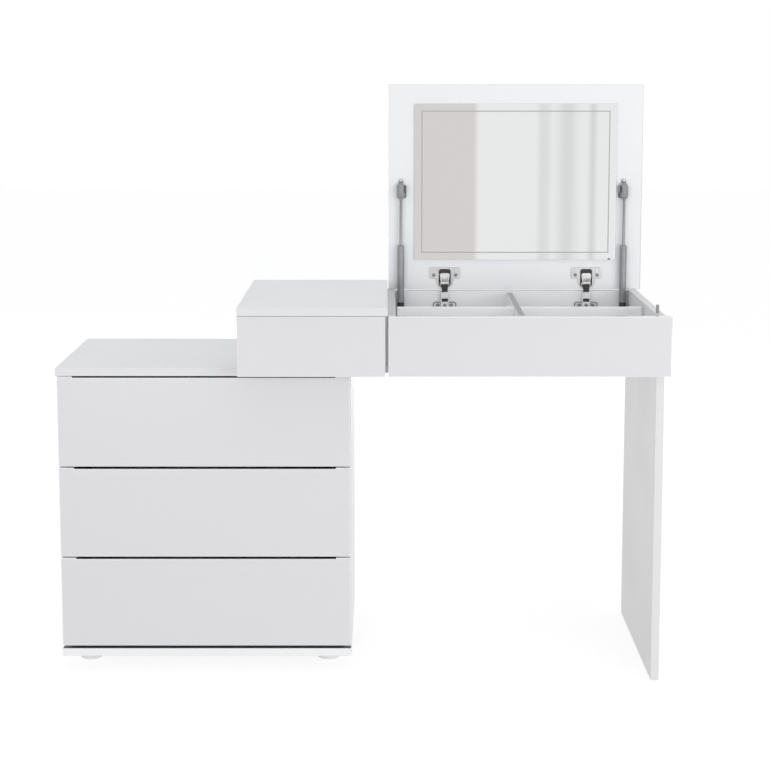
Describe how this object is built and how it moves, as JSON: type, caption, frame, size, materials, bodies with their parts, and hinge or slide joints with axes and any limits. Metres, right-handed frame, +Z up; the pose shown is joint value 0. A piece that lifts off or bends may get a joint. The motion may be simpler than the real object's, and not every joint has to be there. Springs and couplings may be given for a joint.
{
  "type": "dressing table",
  "caption": "White handleless dressing table: drawer chest under a desk unit with a small drawer, side panel leg and a lift-up mirrored lid on cup hinges and gas struts.",
  "frame": {"origin": "middle of the base of the box around the whole table, lid raised", "axes": "+X to the table's right along its front, +Y to its back, +Z up"},
  "size_m": [1.22, 0.45, 1.188],
  "materials": {
    "white_lacquer": "white satin lacquer",
    "drawer_board": "white melamine",
    "back_board": "white faced fibreboard",
    "mirror_glass": "silvered glass",
    "nickel": "nickel plate",
    "zinc_steel": "zinc plate",
    "bright_rod": "ground steel",
    "strut_paint": "grey paint",
    "black_plastic": "matt",
    "grey_plastic": "matt",
    "foot_plastic": "matt"
  },
  "bodies": {
    "carcass": {"chest_top": "white_lacquer", "chest_base": "white_lacquer", "chest_left_side": "white_lacquer", "chest_right_side": "white_lacquer", "chest_back": "back_board", "chest_feet": "foot_plastic", "desk_left_top": "white_lacquer", "desk_left_side": "white_lacquer", "desk_inner_side": "white_lacquer", "desk_front_panel": "white_lacquer", "desk_bottom": "white_lacquer", "desk_partition": "white_lacquer", "desk_leg_panel": "white_lacquer", "desk_back": "white_lacquer", "leg_glides": "foot_plastic", "runner_rails": "zinc_steel", "hinge_arms": "nickel", "hinge_covers": "black_plastic", "hinge_plates": "nickel", "strut_low_brackets": "zinc_steel", "carcass_screws": "zinc_steel", "tray_divider": "white_lacquer", "tray_rails": "white_lacquer", "latch_housing": "grey_plastic"},
    "upper_drawer": {"drawer_upper_front": "white_lacquer", "drawer_upper_sides": "drawer_board", "drawer_upper_back": "drawer_board", "drawer_upper_bottom": "back_board", "drawer_upper_runners": "zinc_steel"},
    "middle_drawer": {"drawer_middle_front": "white_lacquer", "drawer_middle_sides": "drawer_board", "drawer_middle_back": "drawer_board", "drawer_middle_bottom": "back_board", "drawer_middle_runners": "zinc_steel"},
    "lower_drawer": {"drawer_lower_front": "white_lacquer", "drawer_lower_sides": "drawer_board", "drawer_lower_back": "drawer_board", "drawer_lower_bottom": "back_board", "drawer_lower_runners": "zinc_steel"},
    "small_drawer": {"small_drawer_front": "white_lacquer", "small_drawer_sides": "drawer_board", "small_drawer_back": "drawer_board", "small_drawer_bottom": "back_board", "small_drawer_runners": "zinc_steel"},
    "lid": {"lid_panel": "white_lacquer", "mirror": "mirror_glass", "hinge_cups": "nickel", "hinge_pins": "zinc_steel", "lid_strut_brackets": "grey_plastic", "lid_screws": "zinc_steel"},
    "left_strut": {"strut_left_socket": "black_plastic", "strut_left_cylinder": "strut_paint"},
    "left_rod": {"strut_left_rod": "bright_rod", "strut_left_rod_end": "grey_plastic"},
    "right_strut": {"strut_right_socket": "black_plastic", "strut_right_cylinder": "strut_paint"},
    "right_rod": {"strut_right_rod": "bright_rod", "strut_right_rod_end": "grey_plastic"},
    "plunger": {"latch_plunger": "grey_plastic"}
  },
  "joints": [
    {"name": "upper_drawer_slide", "type": "slide", "parent": "carcass", "child": "upper_drawer", "axis": [0, -1, 0], "range_m": [0, 0.28]},
    {"name": "middle_drawer_slide", "type": "slide", "parent": "carcass", "child": "middle_drawer", "axis": [0, -1, 0], "range_m": [0, 0.28]},
    {"name": "lower_drawer_slide", "type": "slide", "parent": "carcass", "child": "lower_drawer", "axis": [0, -1, 0], "range_m": [0, 0.28]},
    {"name": "small_drawer_slide", "type": "slide", "parent": "carcass", "child": "small_drawer", "axis": [0, -1, 0], "range_m": [0, 0.28]},
    {"name": "lid_hinge", "type": "hinge", "parent": "carcass", "child": "lid", "pos_m": [0.3335, 0.2155, 0.7505], "axis": [1, 0, 0], "range_deg": [0, 90], "stiffness_Nm_per_rad": 7, "springref_deg": -14.32},
    {"name": "left_strut_turn", "type": "hinge", "parent": "carcass", "child": "left_strut", "pos_m": [0.084, 0.197, 0.672], "axis": [1, 0, 0], "range_deg": [0, 72.74]},
    {"name": "left_rod_slide", "type": "slide", "parent": "left_strut", "child": "left_rod", "axis": [0, 0, 1], "range_m": [-0.08789, 0]},
    {"name": "right_strut_turn", "type": "hinge", "parent": "carcass", "child": "right_strut", "pos_m": [0.57, 0.197, 0.672], "axis": [1, 0, 0], "range_deg": [0, 72.74]},
    {"name": "right_rod_slide", "type": "slide", "parent": "right_strut", "child": "right_rod", "axis": [0, 0, 1], "range_m": [-0.08789, 0]},
    {"name": "latch_press", "type": "slide", "parent": "carcass", "child": "plunger", "axis": [0, 0, 1], "range_m": [-0.0155, 0]}
  ],
  "couplings": [
    {"joint": "left_strut_turn", "follows": "lid_hinge", "ratio": 0.80812},
    {"joint": "left_rod_slide", "follows": "lid_hinge", "m_per_rad": -0.055952},
    {"joint": "right_strut_turn", "follows": "lid_hinge", "ratio": 0.80812},
    {"joint": "right_rod_slide", "follows": "lid_hinge", "m_per_rad": -0.055952},
    {"joint": "latch_press", "follows": "lid_hinge", "m_per_rad": -0.0098612}
  ]
}
